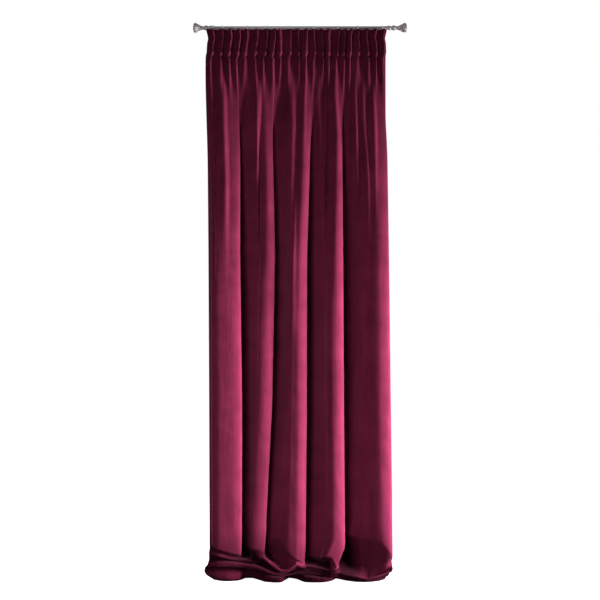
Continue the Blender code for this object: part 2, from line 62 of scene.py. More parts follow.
def curveThrough(knots, values, at):
    knots = np.asarray(knots, float)
    values = np.asarray(values, float)
    slopes = np.gradient(values, knots, axis=0)
    index = np.clip(np.searchsorted(knots, at) - 1, 0, len(knots) - 2)
    span = knots[index + 1] - knots[index]
    share = (at - knots[index]) / span
    if values.ndim > 1:
        span = span[:, None]
        share = share[:, None]
    start = (1 + 2 * share) * (1 - share) ** 2 * values[index]
    start = start + share * (1 - share) ** 2 * span * slopes[index]
    end = share**2 * (3 - 2 * share) * values[index + 1]
    return start + end + share**2 * (share - 1) * span * slopes[index + 1]


def addPiece(name, mesh, material):
    piece = bpy.data.objects.new(name, mesh)
    bpy.context.scene.collection.objects.link(piece)
    mesh.materials.clear()
    mesh.materials.append(material)
    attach(piece, "root")
    return piece


def meshFrom(name, shape, smoothFaces=True):
    mesh = bpy.data.meshes.new(name)
    shape.to_mesh(mesh)
    shape.free()
    if smoothFaces:
        mesh.shade_smooth()
    return mesh


cloth = {
    "width": 1.40,
    "length": 2.80,
    "thickness": 0.002,
    "lineY": -0.022,
    "topZ": -0.0100,
    "scallop": 0.0006,
    "scallopTo": 0.25,
    "columnsPerPleat": 16,
    "headRows": 26,
    "headTo": 0.16,
    "fallRows": 52,
    "fallTo": 2.32,
    "hemRows": 61,
    "straightFall": 2.36,
    "stretchFrom": 1.20,
    "gatheredFrom": 0.10,
    "gatheredTo": 0.62,
    "deepensFrom": 0.10,
    "deepensTo": 0.92,
    "calmsFrom": 1.9,
    "calmsTo": 2.5,
}

heading = {
    "pleats": 22,
    "half": 0.418,
    "height": 0.130,
    "upperCord": 0.044,
    "pleatDepth": 0.0110,
    "crestPower": 1.5,
    "crestSoftens": 0.05,
    "crestLean": 0.0030,
    "hookLeft": 0.0035,
    "hookFrom": 0.026,
    "hookTo": 0.002,
    "belowShift": 0.0060,
    "belowFrom": 0.004,
    "belowTo": 0.012,
    "belowWaves": 7.5,
    "sharpness": 0.30,
    "leanMiddle": 0.55,
    "runsOut": 0.50,
    "fadesFrom": 0.03,
    "fadesTo": 0.37,
    "fadePower": 1.4,
    "endShiftMm": (-18, -15),
    "shiftMm": (-12, -6, -6, -2, -7, 2, 11, 10, 0, 9, 9, 8, 8, 8, -2, 7, -3, -13, -13, -11, -10, -9),
    "strength": (0.9, 1.0, 1.3, 1.2, 1.0, 0.9, 1.2, 1.4, 1.0, 0.8, 0.9,
                 1.2, 0.8, 1.0, 1.2, 0.9, 1.1, 1.3, 0.9, 1.2, 1.3, 1.0),
    "leanMm": (6, 9, 12, 10, 13, 14, 12, 14, -4, 2, -8, 4, -9, -8, -2, 6, 7, 3, -2, -9, -10, -4),
}

# What the cords of the tape do at a height: where it is felt, over what reach, and how much
Grip = namedtuple("Grip", "down reach amount")
pleatGrips = (
    Grip(heading["upperCord"], 0.010, -0.20),
    Grip(heading["height"] - 0.014, 0.009, 0.34),
    Grip(heading["height"] + 0.005, 0.006, -0.50),
)
pinchGrips = (Grip(heading["height"], 0.0055, 0.0060), Grip(heading["height"] - 0.016, 0.010, -0.003))
flareGrips = (Grip(0.0, 0.020, 0.006), Grip(heading["upperCord"], 0.015, -0.004))

# Heights below the rod at which each fold's right edge is placed
levels = (0.46, 1.07, 1.78, 2.36, 2.44)
Fold = namedtuple("Fold", "place edgeX valley deep ridgeAt ridge dip crest band peak")
folds = (
    Fold(0.165, (-0.280, -0.280, -0.271, -0.272, -0.274), (-0.020, -0.030), 0.008, (0.12, 0.12),
         (0.004, 0.016), (0.018, 0.028), (0.036, 0.046), (0.104, 0.116), 0.70),
    Fold(0.343, (-0.131, -0.117, -0.131, -0.160, -0.167), (-0.040, -0.076), 0.026, (0.50, 0.48),
         (0.014, 0.000), (0.004, 0.014), (0.036, 0.032), (0.050, 0.066), 0.58),
    Fold(0.560, (0.050, 0.032, 0.031, 0.025, 0.021), (-0.044, -0.066), 0.018, (0.46, 0.40),
         (0.012, 0.012), (0.014, 0.034), (0.040, 0.044), (0.052, 0.062), 0.58),
    Fold(0.733, (0.195, 0.200, 0.204, 0.209, 0.176), (-0.050, -0.084), 0.022, (0.42, 0.42),
         (0.010, -0.016), (-0.002, 0.006), (0.038, 0.048), (0.046, 0.072), 0.55),
    Fold(0.984, (0.405, 0.414, 0.423, 0.431, 0.432), (-0.058, -0.090), 0.034, (0.30, 0.36),
         (0.006, -0.014), (0.006, 0.006), (0.036, 0.044), (0.076, 0.084), 0.60),
)

# Soft folds that run out of the heading and die away lower down: x of the right edge at three heights,
# how far each stands forward, how wide it is and how far down the cloth it ends
SoftFold = namedtuple("SoftFold", "edgeX height width end")
softLevels = (0.19, 0.46, 0.70)
softFolds = (
    SoftFold((-0.416, -0.408, -0.398), 0.007, 0.024, 1.50),
    SoftFold((-0.358, -0.352, -0.343), 0.012, 0.040, 1.20),
    SoftFold((-0.236, -0.226, -0.222), 0.008, 0.030, 0.80),
    SoftFold((-0.188, -0.194, -0.201), 0.013, 0.036, 1.10),
    SoftFold((-0.041, -0.029, -0.034), 0.009, 0.050, 1.60),
    SoftFold((0.022, 0.020, 0.012), 0.006, 0.034, 0.70),
    SoftFold((0.085, 0.094, 0.088), 0.012, 0.036, 0.95),
    SoftFold((0.116, 0.120, 0.130), 0.006, 0.020, 0.45),
    SoftFold((0.154, 0.176, 0.186), 0.011, 0.034, 0.70),
    SoftFold((0.229, 0.240, 0.250), 0.006, 0.022, 0.60),
    SoftFold((0.255, 0.262, 0.266), 0.010, 0.026, 0.90),
    SoftFold((0.292, 0.302, 0.317), 0.010, 0.032, 1.30),
    SoftFold((0.336, 0.350, 0.352), 0.008, 0.030, 0.95),
)
softShape = {"growth": 1.30, "from": 0.01, "to": 0.40, "riseTo": -0.12, "fallFrom": -0.04, "fallTo": 0.42,
             "fadesFrom": 0.45}
# The main folds: proportions of their section, across the cloth and forward, the same in each of them
foldShape = {
    "upperLevel": 0.55,
    "lowerLevel": 1.45,
    "overhang": 0.010,
    "valleyStep": 0.006,
    "calm": 0.80,
    "bandCloth": 0.90,
    "deepRise": 0.88,
    "deepCloth": 0.8,
    "ridgeCloth": 0.48,
    "dipCloth": 0.72,
    "dipAt": 0.5,
    "crestRise": 0.7,
    "peakCloth": 0.05,
    "edgeDepth": 0.42,
    "returnDepth": 0.35,
    "turnCloth": 0.026,
    "lastPlace": 1.02,
    "leftEdgeX": (-0.434, -0.430, -0.427, -0.425, -0.425),
}

# How the cloth meets the floor at places across it. Heights above the floor: where the straight fall ends,
# the hollow behind the lip, the lip, the second turn and the lower roll. Forward of the rod: front of the
# lip, midOut of the second turn and foot of the roll. back is how far the hollow lies behind the fall
Hem = namedtuple("Hem", "place fall back hollow lip front mid midOut roll foot")
hemTable = (
    Hem(0.00, 0.170, 0.004, 0.150, 0.134, 0.030, 0.090, 0.050, 0.030, 0.020),
    Hem(0.05, 0.160, 0.008, 0.140, 0.126, 0.066, 0.094, 0.076, 0.034, 0.046),
    Hem(0.10, 0.140, 0.010, 0.125, 0.114, 0.072, 0.094, 0.080, 0.036, 0.050),
    Hem(0.15, 0.125, 0.010, 0.112, 0.105, 0.070, 0.091, 0.080, 0.036, 0.036),
    Hem(0.19, 0.140, 0.010, 0.112, 0.100, 0.064, 0.088, 0.080, 0.034, -0.010),
    Hem(0.25, 0.150, 0.010, 0.112, 0.094, 0.060, 0.080, 0.080, 0.030, -0.012),
    Hem(0.31, 0.150, 0.006, 0.118, 0.104, 0.060, 0.070, 0.080, 0.026, 0.030),
    Hem(0.345, 0.135, 0.004, 0.118, 0.106, 0.066, 0.060, 0.080, 0.022, 0.058),
    Hem(0.385, 0.150, 0.030, 0.100, 0.080, 0.072, 0.045, 0.076, 0.020, 0.070),
    Hem(0.433, 0.200, 0.040, 0.110, 0.056, 0.072, 0.034, 0.064, 0.016, 0.072),
    Hem(0.475, 0.165, 0.034, 0.100, 0.062, 0.072, 0.036, 0.056, 0.016, -0.020),
    Hem(0.515, 0.115, 0.010, 0.098, 0.086, 0.070, 0.044, 0.056, 0.018, 0.000),
    Hem(0.56, 0.086, 0.002, 0.078, 0.072, 0.068, 0.042, 0.056, 0.020, 0.064),
    Hem(0.60, 0.090, 0.012, 0.080, 0.068, 0.062, 0.040, 0.056, 0.020, 0.073),
    Hem(0.66, 0.110, 0.040, 0.080, 0.056, 0.050, 0.032, 0.046, 0.018, 0.070),
    Hem(0.70, 0.120, 0.030, 0.070, 0.046, 0.056, 0.026, 0.046, 0.016, 0.040),
    Hem(0.725, 0.070, 0.004, 0.058, 0.050, 0.074, 0.028, 0.056, 0.014, -0.010),
    Hem(0.74, 0.100, 0.010, 0.070, 0.050, 0.076, 0.026, 0.056, 0.014, 0.000),
    Hem(0.77, 0.205, 0.040, 0.095, 0.036, 0.074, 0.020, 0.056, 0.012, 0.025),
    Hem(0.82, 0.200, 0.048, 0.090, 0.028, 0.074, 0.018, 0.068, 0.008, 0.050),
    Hem(0.88, 0.190, 0.048, 0.080, 0.020, 0.075, 0.014, 0.072, 0.007, 0.056),
    Hem(0.93, 0.195, 0.040, 0.080, 0.028, 0.074, 0.018, 0.068, 0.009, 0.050),
    Hem(0.97, 0.130, 0.015, 0.080, 0.044, 0.070, 0.022, 0.055, 0.014, 0.035),
    Hem(1.00, 0.100, 0.004, 0.080, 0.060, 0.060, 0.030, 0.045, 0.018, 0.010),
)
# The turns of the hem between those heights. Its rows are counted in steps from one point of hemCurve to
# the next
hemShape = {
    "steps": 15.0,
    # from this hem step on, the faces take the velvet copy that paints shade
    "shadedFrom": 2.0,
    "softened": 0.25,
    "start": 0.100,
    "bendAbove": 0.012,
    "bendBelow": 0.002,
    "bendBack": 0.03,
    "slopeBack": 0.50,
    "slopeDown": 0.46,
    "lipRun": 0.012,
    "lipRise": 0.004,
    "underLip": 0.006,
    "underLipDown": 0.4,
    "groove": 0.026,
    "upperGroove": 0.25,
    "lowerGroove": 0.50,
    "underMid": 0.010,
    "underMidDown": 0.3,
    "rollRun": 0.012,
    "rollTurn": 0.006,
    "rollLow": 0.3,
    "touchBack": 0.010,
    "tailBack": 0.045,
    "flatBelow": 0.006,
    "fullAbove": 0.020,
    "leftSide": 0.13,
    "rightSide": 0.80,
    "leftBulge": 0.022,
    "bulgeAt": 0.048,
    "bulgeReach": 0.028,
    "rightRound": 0.034,
    "rightRoundTo": 0.065,
    "leftRound": 0.024,
    "leftRoundTo": 0.035,
    "spreadFrom": 2.0,
    "spreadTo": 5.0,
}


def foldSection(place, belowRod):
    shape = foldShape
    low = float(smooth(shape["upperLevel"], shape["lowerLevel"], belowRod))
    places, points = [0.0], []
    startX, startPlace = np.interp(belowRod, levels, shape["leftEdgeX"]), 0.0
    for fold in folds:
        edge = np.interp(belowRod, levels, fold.edgeX)
        pairs = (fold.valley, fold.ridge, fold.dip, fold.crest, fold.ridgeAt, fold.band)
        valley, ridge, dip, crest, ridgeAt, band = (high + (below - high) * low for high, below in pairs)
        crestX = edge - band
        crestPlace = fold.place - band * shape["bandCloth"]
        ridgeX = startX + (edge - startX) * ridgeAt
        flat = crestPlace - startPlace
        points += [
            (startX, valley),
            (startX + fold.deep, valley * shape["deepRise"]),
            (ridgeX, ridge),
            (ridgeX + (crestX - ridgeX) * shape["dipAt"], dip),
            (crestX, dip + shape["crestRise"] * (crest - dip)),
            (edge - band * fold.peak, crest),
            (edge, crest * shape["edgeDepth"]),
            (edge - shape["overhang"], valley * shape["returnDepth"]),
        ]
        places += [
            startPlace + fold.deep * shape["bandCloth"] * shape["deepCloth"],
            startPlace + flat * shape["ridgeCloth"],
            startPlace + flat * shape["dipCloth"],
            crestPlace,
            fold.place - (fold.place - crestPlace) * (fold.peak + shape["peakCloth"]),
            fold.place,
            fold.place + shape["turnCloth"],
            fold.place + 2 * shape["turnCloth"],
        ]
        startX = edge + shape["valleyStep"]
        startPlace = places[-1]
    places = np.array(places[:-1])
    keep = places <= shape["lastPlace"]
    result = curveThrough(places[keep], np.array(points)[keep], place)
    return result[:, 0], result[:, 1]


def pleatWave(place, down):
    pleats, height = heading["pleats"], heading["height"]
    phase = 2 * math.pi * pleats * place
    centres = (np.arange(pleats) + 0.5) / pleats
    ends = heading["endShiftMm"]
    shifts = np.array((ends[0],) + heading["shiftMm"] + (ends[1],)) / 1000
    spacing = 2 * heading["half"] / pleats
    inHeading = 1.0 - smooth(height, height + heading["runsOut"], down)
    shift = np.interp(place, np.concatenate(((0.0,), centres, (1.0,))), shifts) * inHeading
    lean = np.interp(place, centres, np.array(heading["leanMm"]) / 1000)
    shift = shift + lean * (heading["leanMiddle"] - min(down / height, 1.0)) * inHeading
    hooked = smooth(height - heading["hookFrom"], height - heading["hookTo"], down)
    shift = shift - heading["hookLeft"] * hooked * inHeading
    sharp = heading["sharpness"] * spacing / (2 * math.pi)
    softened = float(smooth(height, height + heading["crestSoftens"], down))
    crest = ((1.0 - np.cos(phase)) / 2) ** (1.0 + (heading["crestPower"] - 1.0) * (1.0 - softened))
    strength = np.interp(place, centres, heading["strength"])
    below = smooth(height - heading["belowFrom"], height + heading["belowTo"], down)
    waves = np.sin(2 * math.pi * heading["belowWaves"] * place)
    sideways = heading["crestLean"] * crest - heading["belowShift"] * below * waves
    depth = heading["pleatDepth"] * (2 * crest * strength - 1)
    return shift + (sharp * np.sin(phase) + sideways) * inHeading, depth


def gripAt(grips, down):
    return sum(grip.amount * math.exp(-(((down - grip.down) / grip.reach) ** 2)) for grip in grips)


# How strongly the pleats show at a height
def pleatStrength(down):
    below = smooth(heading["height"] - heading["fadesFrom"], heading["fadesTo"], down)
    return (1.0 + gripAt(pleatGrips, down)) * (1.0 - below) ** heading["fadePower"]


# The soft folds' push forward at each x: a slow rise to the edge, then a quick fall
def softDepth(x, down, belowRod):
    depth = np.zeros_like(x)
    grown = softShape["growth"] * smooth(heading["height"] - softShape["from"], softShape["to"], down)
    for fold in softFolds:
        edge = np.interp(belowRod, softLevels, fold.edgeX)
        along = (x - edge) / fold.width
        rise = smooth(-1.0, softShape["riseTo"], along)
        fall = 1.0 - smooth(softShape["fallFrom"], softShape["fallTo"], along)
        left = 1.0 - smooth(softShape["fadesFrom"] * fold.end, fold.end, down)
        depth += fold.height * rise * fall * grown * left
    return depth


def hangingSection(places, down):
    belowRod = down - cloth["topZ"]
    foldX, foldDepth = foldSection(places, min(belowRod, levels[-1]))
    gathered = 1.0 - smooth(cloth["gatheredFrom"], cloth["gatheredTo"], down)
    headX = (2 * places - 1) * (heading["half"] + gripAt(flareGrips, down))
    pleatX, pleatDepth = pleatWave(places, down)
    x = foldX + (headX - foldX) * gathered + pleatX
    calm = 1.0 - (1.0 - foldShape["calm"]) * smooth(cloth["calmsFrom"], cloth["calmsTo"], belowRod)
    deepened = smooth(cloth["deepensFrom"], cloth["deepensTo"], down)
    depth = foldDepth * deepened * calm + pleatDepth * pleatStrength(down) - gripAt(pinchGrips, down)
    return x, cloth["lineY"] - depth - softDepth(x, down, belowRod)


ringPleats = (0, 1, 4, 6, 9, 12, 15, 18, 21)
ringPlaces = np.array([(pleat + 0.5) / heading["pleats"] for pleat in ringPleats])


def topScallop(places):
    knots, lifts = [], []
    for start, end in zip(ringPlaces[:-1], ringPlaces[1:]):
        knots += [start, (start + end) / 2]
        lifts += [cloth["scallop"], -cloth["scallop"]]
    return np.interp(places, knots + [ringPlaces[-1]], lifts + [cloth["scallop"]])


def hemCurve(base, hem, rows):
    fall, back, hollow, lip, front, mid, midOut, roll, foot = hem
    shape = hemShape
    contact = cloth["thickness"] / 2
    # low folds have no room to turn in under themselves
    upperIn = float(smooth(shape["flatBelow"], shape["fullAbove"], lip - mid))
    lowerIn = float(smooth(shape["flatBelow"], shape["fullAbove"], mid - roll))
    points = np.array((
        (base, fall + shape["start"]),
        (base, fall + shape["bendAbove"]),
        (base - shape["bendBack"] * back, fall - shape["bendBelow"]),
        (base - shape["slopeBack"] * back, fall - shape["slopeDown"] * (fall - hollow)),
        (base - back, hollow),
        (front - shape["lipRun"], lip + shape["lipRise"]),
        (front, lip),
        (front - shape["underLip"] * upperIn, lip - shape["underLipDown"] * (lip - mid)),
        (0.5 * (front + midOut) - shape["groove"] * upperIn, mid + shape["upperGroove"] * (lip - mid)),
        (midOut, mid),
        (midOut - shape["underMid"] * lowerIn, mid - shape["underMidDown"] * (mid - roll)),
        (0.5 * (midOut + foot) - shape["groove"] * lowerIn, roll + shape["lowerGroove"] * (mid - roll)),
        (foot + shape["rollRun"], roll),
        (foot + shape["rollTurn"], shape["rollLow"] * roll),
        (foot - shape["touchBack"], contact),
        (foot - shape["tailBack"], contact),
    ))
    reach = np.concatenate(((0.0,), np.cumsum(np.hypot(*np.diff(points, axis=0).T))))
    path = curveThrough(reach, points, np.interp(rows, range(len(points)), reach))
    path[:, 1] = np.maximum(path[:, 1], contact)
    return path


def hemSurface(places, hems, hemRows):
    shape = hemShape
    spreadX = np.interp(places, [0.0] + [f.place for f in folds[:-1]] + [1.0],
                        [foldShape["leftEdgeX"][-1]] + [f.edgeX[-1] for f in folds])
    left = 1.0 - smooth(0.0, shape["leftSide"], places)
    right = smooth(shape["rightSide"], 1.0, places)
    baseY = hangingSection(places, cloth["length"])[1]
    surface = np.zeros((len(hemRows), len(places), 3))
    for column in range(len(places)):
        surface[:, column, 1:] = hemCurve(-baseY[column], hems[column], hemRows) * (-1.0, 1.0)
    for row in range(len(hemRows)):
        height = surface[row, :, 2]
        x, y = hangingSection(places, floorDrop + cloth["topZ"] - np.mean(height))
        bulge = np.exp(-(((height - shape["bulgeAt"]) / shape["bulgeReach"]) ** 2))
        rightUnder = 1.0 - smooth(0.0, shape["rightRoundTo"], height)
        leftUnder = 1.0 - smooth(0.0, shape["leftRoundTo"], height)
        x = x + (spreadX - x) * smooth(shape["spreadFrom"], shape["spreadTo"], hemRows[row])
        x = x - shape["leftBulge"] * bulge * left
        x = x - shape["rightRound"] * rightUnder * right + shape["leftRound"] * leftUnder * left
        surface[row, :, 0] = x
        surface[row, :, 1] += (y - baseY) * smooth(shape["spreadFrom"], 0.0, hemRows[row])
        surface[row, :, 2] -= floorDrop
    return surface


def clothSurface(places, fallRows, hemRows):
    columns = np.array(hemTable)
    flowing = curveThrough(columns[:, 0], columns[:, 1:], places)
    crisp = np.stack([np.interp(places, columns[:, 0], column) for column in columns[:, 1:].T], axis=1)
    hems = hemShape["softened"] * flowing + (1.0 - hemShape["softened"]) * crisp
    starts = floorDrop - hemShape["start"] - hems[:, 0] + cloth["topZ"]
    fall = np.zeros((len(fallRows), len(places), 3))
    for row, down in enumerate(fallRows):
        fall[row, :, 0], fall[row, :, 1] = hangingSection(places, down)
        lower = smooth(cloth["stretchFrom"], cloth["straightFall"], down)
        hang = cloth["topZ"] - down - lower * (starts - cloth["straightFall"])
        fall[row, :, 2] = topScallop(places) * (1.0 - smooth(0.0, cloth["scallopTo"], down)) + hang
    return np.concatenate((fall, hemSurface(places, hems, hemRows)))


# A grid laid on a surface, with the flat cloth's own metres as its UV map
def gridPiece(name, surface, uvs):
    rows, columns = surface.shape[:2]
    shape = bmesh.new()
    bmesh.ops.create_grid(shape, x_segments=columns - 1, y_segments=rows - 1, size=1.0)
    layer = shape.loops.layers.uv.new("flat cloth")
    shape.verts.ensure_lookup_table()
    for index, vert in enumerate(shape.verts):
        vert.co = surface[index // columns, index % columns]
    for face in shape.faces:
        for loop in face.loops:
            loop[layer].uv = uvs[loop.vert.index // columns, loop.vert.index % columns]
    shape.normal_update()
    if sum(face.normal.y for face in shape.faces) > 0:
        bmesh.ops.reverse_faces(shape, faces=shape.faces)
    return meshFrom(name, shape)


# Painted shade on the hem, from 0 to 1, darkening where its folds turn under: above the end of the straight
# fall, on the shelf or in the pocket under it, on the lip, under the lip and on the lower roll
ShadeMark = namedtuple("ShadeMark", "place above shelf lip under roll")
shadeTable = (
    ShadeMark(0.000, 0.30, 0.75, 0.45, 0.95, 0.60),
    ShadeMark(0.100, 0.45, 0.85, 0.60, 0.95, 0.55),
    ShadeMark(0.160, 0.55, 1.00, 0.90, 0.95, 0.60),
    ShadeMark(0.200, 0.60, 1.00, 1.00, 1.00, 0.80),
    ShadeMark(0.300, 0.60, 0.95, 1.00, 1.00, 0.85),
    ShadeMark(0.360, 0.45, 0.60, 0.95, 1.00, 0.85),
    ShadeMark(0.410, 0.25, 0.50, 0.85, 1.00, 0.90),
    ShadeMark(0.440, 0.25, 0.45, 0.35, 0.95, 0.90),
    ShadeMark(0.510, 0.30, 0.35, 0.20, 0.95, 0.90),
    ShadeMark(0.556, 0.45, 0.15, 0.25, 0.90, 0.90),
    ShadeMark(0.572, 0.45, 0.85, 1.00, 1.00, 0.95),
    ShadeMark(0.690, 0.35, 1.00, 1.00, 1.00, 0.95),
    ShadeMark(0.720, 0.45, 0.15, 0.05, 0.00, 0.30),
    ShadeMark(0.732, 0.45, 0.30, 0.10, 0.30, 0.60),
    ShadeMark(0.745, 0.40, 1.00, 0.95, 1.00, 0.90),
    ShadeMark(0.800, 0.30, 1.00, 0.95, 1.00, 0.95),
    ShadeMark(0.850, 0.25, 0.55, 0.55, 1.00, 0.95),
    ShadeMark(0.950, 0.25, 0.45, 0.40, 0.95, 0.95),
    ShadeMark(1.000, 0.35, 0.45, 0.40, 0.95, 0.90),
)
# The hem's steps at which those values hold
shadeRows = (0.0, 0.9, 1.3, 2.1, 4.9, 5.4, 6.0, 6.7, 8.2, 8.8, 9.6, 10.4, 11.2, 11.8, 12.6, 13.2)


# Lays the painted shade on the cloth's vertices as a mask that the velvet's colour reads
def layPaintedShade(mesh, places, fallCount, hemRows):
    values = np.zeros((fallCount + len(hemRows), len(places)))
    columns = np.array(shadeTable)
    marks, tables = columns[:, 0], columns[:, 1:].T
    for index, place in enumerate(places):
        above, shelf, lip, under, roll = (np.interp(place, marks, table) for table in tables)
        upper = (0.0, above, above, shelf, shelf, lip, lip, under, under)
        lower = (roll, roll, under, under, roll, roll, under)
        values[fallCount:, index] = np.interp(hemRows, shadeRows, upper + lower)
    paintedShade = mesh.attributes.new("paintedShade", "FLOAT", "POINT")
    paintedShade.data.foreach_set("value", values.ravel())


def flatUvs(places, lengths):
    uvs = np.zeros((len(lengths), len(places), 2))
    uvs[:, :, 0] = places * cloth["width"]
    uvs[:, :, 1] = np.asarray(lengths)[:, None]
    return uvs


def newMaterial(name):
    made = bpy.data.materials.new(name)
    made.use_nodes = True
    return made, made.node_tree.nodes, made.node_tree.nodes["Principled BSDF"]


# Each value is a plain one, or the output of another node that is linked to the input
def setInputs(node, values):
    for key, value in values.items():
        if isinstance(value, bpy.types.NodeSocket):
            node.id_data.links.new(value, node.inputs[key])
        else:
            node.inputs[key].default_value = value


def addNode(nodeSet, kind, values=None, **settings):
    node = nodeSet.new(kind)
    for key, value in settings.items():
        setattr(node, key, value)
    setInputs(node, values or {})
    return node


def addMath(nodeSet, operation, *values):
    return addNode(nodeSet, "ShaderNodeMath", dict(enumerate(values)), operation=operation).outputs[0]


def addRange(nodeSet, source, given=(0.0, 1.0), wanted=(0.0, 1.0)):
    limits = {"From Min": given[0], "From Max": given[1], "To Min": wanted[0], "To Max": wanted[1]}
    return addNode(nodeSet, "ShaderNodeMapRange", {"Value": source, **limits}).outputs[0]


def addColours(nodeSet, factor, first, second):
    values = {"Factor": factor, 6: first, 7: second}
    return addNode(nodeSet, "ShaderNodeMix", values, data_type="RGBA").outputs[2]


# Noise that a mapping stretches
def addNoise(nodeSet, where, stretch, detail, roughness):
    mapped = addNode(nodeSet, "ShaderNodeMapping", {"Vector": where, "Scale": stretch}).outputs[0]
    values = {"Vector": mapped, "Scale": 1.0, "Detail": detail, "Roughness": roughness}
    return addNode(nodeSet, "ShaderNodeTexNoise", values).outputs["Fac"]


# A shader node group with named sockets, given back with its nodes and with its inputs as seen from inside
def newGroup(name, inputs, outputs):
    group = bpy.data.node_groups.new(name, "ShaderNodeTree")
    for direction, sockets in (("INPUT", inputs), ("OUTPUT", outputs)):
        for socket, kind in sockets.items():
            group.interface.new_socket(socket, in_out=direction, socket_type="NodeSocket" + kind)
    return group, group.nodes, group.nodes.new("NodeGroupInput").outputs


grainMix = {"fine": 0.65, "coarse": 0.35, "coarseScale": 23.0}


# Fine grain for cloth and metal alike: two sizes of stretched noise, as one mask from 0 to 1
def grainGroup():
    group, inside, given = newGroup("fine grain", {"Vector": "Vector", "Scale": "Float", "Stretch": "Vector"},
                                    {"Mask": "Float"})
    stretched = addNode(inside, "ShaderNodeVectorMath", {0: given["Vector"], 1: given["Stretch"]},
                        operation="MULTIPLY").outputs[0]
    fine = addNode(inside, "ShaderNodeTexNoise",
                   {"Vector": stretched, "Scale": given["Scale"], "Detail": 3.0, "Roughness": 0.65})
    coarse = addNode(inside, "ShaderNodeTexNoise",
                     {"Vector": stretched, "Scale": grainMix["coarseScale"], "Detail": 2.0})
    share = addMath(inside, "MULTIPLY", coarse.outputs["Fac"], grainMix["coarse"])
    blend = addMath(inside, "MULTIPLY_ADD", fine.outputs["Fac"], grainMix["fine"], share)
    addNode(inside, "NodeGroupOutput", {"Mask": blend})
    return group


fineGrain = grainGroup()


def addGrain(nodeSet, where, look):
    values = {"Vector": where, "Scale": look["grainScale"], "Stretch": look.get("stretch", (1.0, 1.0, 1.0))}
    return addNode(nodeSet, "ShaderNodeGroup", values, node_tree=fineGrain).outputs["Mask"]


velvetLook = {
    "deep": (0.062, 0.0060, 0.0175, 1.0),
    "lit": (0.152, 0.0165, 0.046, 1.0),
    # nearly black colour, used for the painted shade where the hem is marked
    "shadowColour": (0.014, 0.0012, 0.0040, 1.0),
    "roughness": (0.74, 0.92),
    "sheen": 0.42,
    "sheenRoughness": 0.42,
    "sheenTint": (0.93, 0.25, 0.44, 1.0),
    "grainScale": 1400.0,
    "speck": (-0.18, 0.18),
    "streaks": (16.0, 1.6, 1.0),
    "bruises": 9.0,
    "contrast": (0.26, 0.74),
    "creases": (34.0, 5.0, 1.0),
    "creaseBump": 0.0022,
    "pileBump": 0.00035,
}
# A copy of the velvet with far less sheen and a darker shade colour, laid on the hem to paint shade there
shadedLook = {
    **velvetLook,
    "deep": (0.070, 0.0070, 0.0200, 1.0),
    "lit": (0.180, 0.0210, 0.0560, 1.0),
    "shadowColour": (0.006, 0.0006, 0.0018, 1.0),
    "sheen": 0.06,
}

stitch = {"width": 0.0012, "length": 0.0045, "sideHem": 0.025, "tapeRows": (0.043, 0.127), "gap": -0.6,
          "shade": 0.6, "sink": 0.0006}


# Rows of stitches, as a mask on the cloth's own metres: one near each side edge, two where the tape is sewn
def stitchMask(inside, where):
    parts = addNode(inside, "ShaderNodeSeparateXYZ", {0: where}).outputs

    def row(distance, along):
        thin = addRange(inside, distance, (stitch["width"], stitch["width"] / 3))
        dashes = addMath(inside, "SINE", addMath(inside, "MULTIPLY", along, 2 * math.pi / stitch["length"]))
        return addMath(inside, "MULTIPLY", thin, addRange(inside, dashes, (stitch["gap"], 0.0)))

    def distance(value, middle):
        return addMath(inside, "ABSOLUTE", addMath(inside, "SUBTRACT", value, middle))

    across, down = parts["X"], parts["Y"]
    half = cloth["width"] / 2
    mask = row(distance(distance(across, half), half - stitch["sideHem"]), down)
    for height in stitch["tapeRows"]:
        mask = addMath(inside, "MAXIMUM", mask, row(distance(down, height), across))
    return mask


# What both velvets share: streaks, bruises and creases in the pile, the painted shade on the hem, and the
# rows of stitches
def velvetGroup(look):
    group, inside, given = newGroup(
        "velvet pile",
        {"UV": "Vector", "Grain": "Float", "HemShade": "Float",
         "Deep": "Color", "Lit": "Color", "ShadeTone": "Color"},
        {"Colour": "Color", "Ruffled": "Float", "Creases": "Float", "Stitches": "Float"})
    where = given["UV"]
    # the pile lies a little this way or that, in long soft streaks down the cloth
    streak = addNoise(inside, where, look["streaks"], 4.0, 0.55)
    # bruises, where it was folded in its packet
    crush = addNode(inside, "ShaderNodeTexNoise",
                    {"Vector": where, "Scale": look["bruises"], "Detail": 5.0, "Roughness": 0.6})
    mixed = addNode(inside, "ShaderNodeMix", {"Factor": 0.5, 2: streak, 3: crush.outputs["Fac"]},
                    data_type="FLOAT")
    ruffled = addRange(inside, mixed.outputs[0], look["contrast"])
    speck = addRange(inside, given["Grain"], (0.3, 0.7), look["speck"])
    colour = addColours(inside, addMath(inside, "ADD", ruffled, speck), given["Deep"], given["Lit"])
    # painted shade: where the hem is marked the colour goes much darker, and it also goes a little darker
    # under a stitch
    stitches = stitchMask(inside, where)
    shadeAndStitches = addMath(inside, "MAXIMUM", given["HemShade"], addMath(inside, "MULTIPLY", stitches, stitch["shade"]))
    addNode(inside, "NodeGroupOutput", {
        "Colour": addColours(inside, shadeAndStitches, colour, given["ShadeTone"]),
        "Ruffled": ruffled,
        "Creases": addNoise(inside, where, look["creases"], 2.0, 0.5),
        "Stitches": stitches,
    })
    return group


velvetPile = velvetGroup(velvetLook)


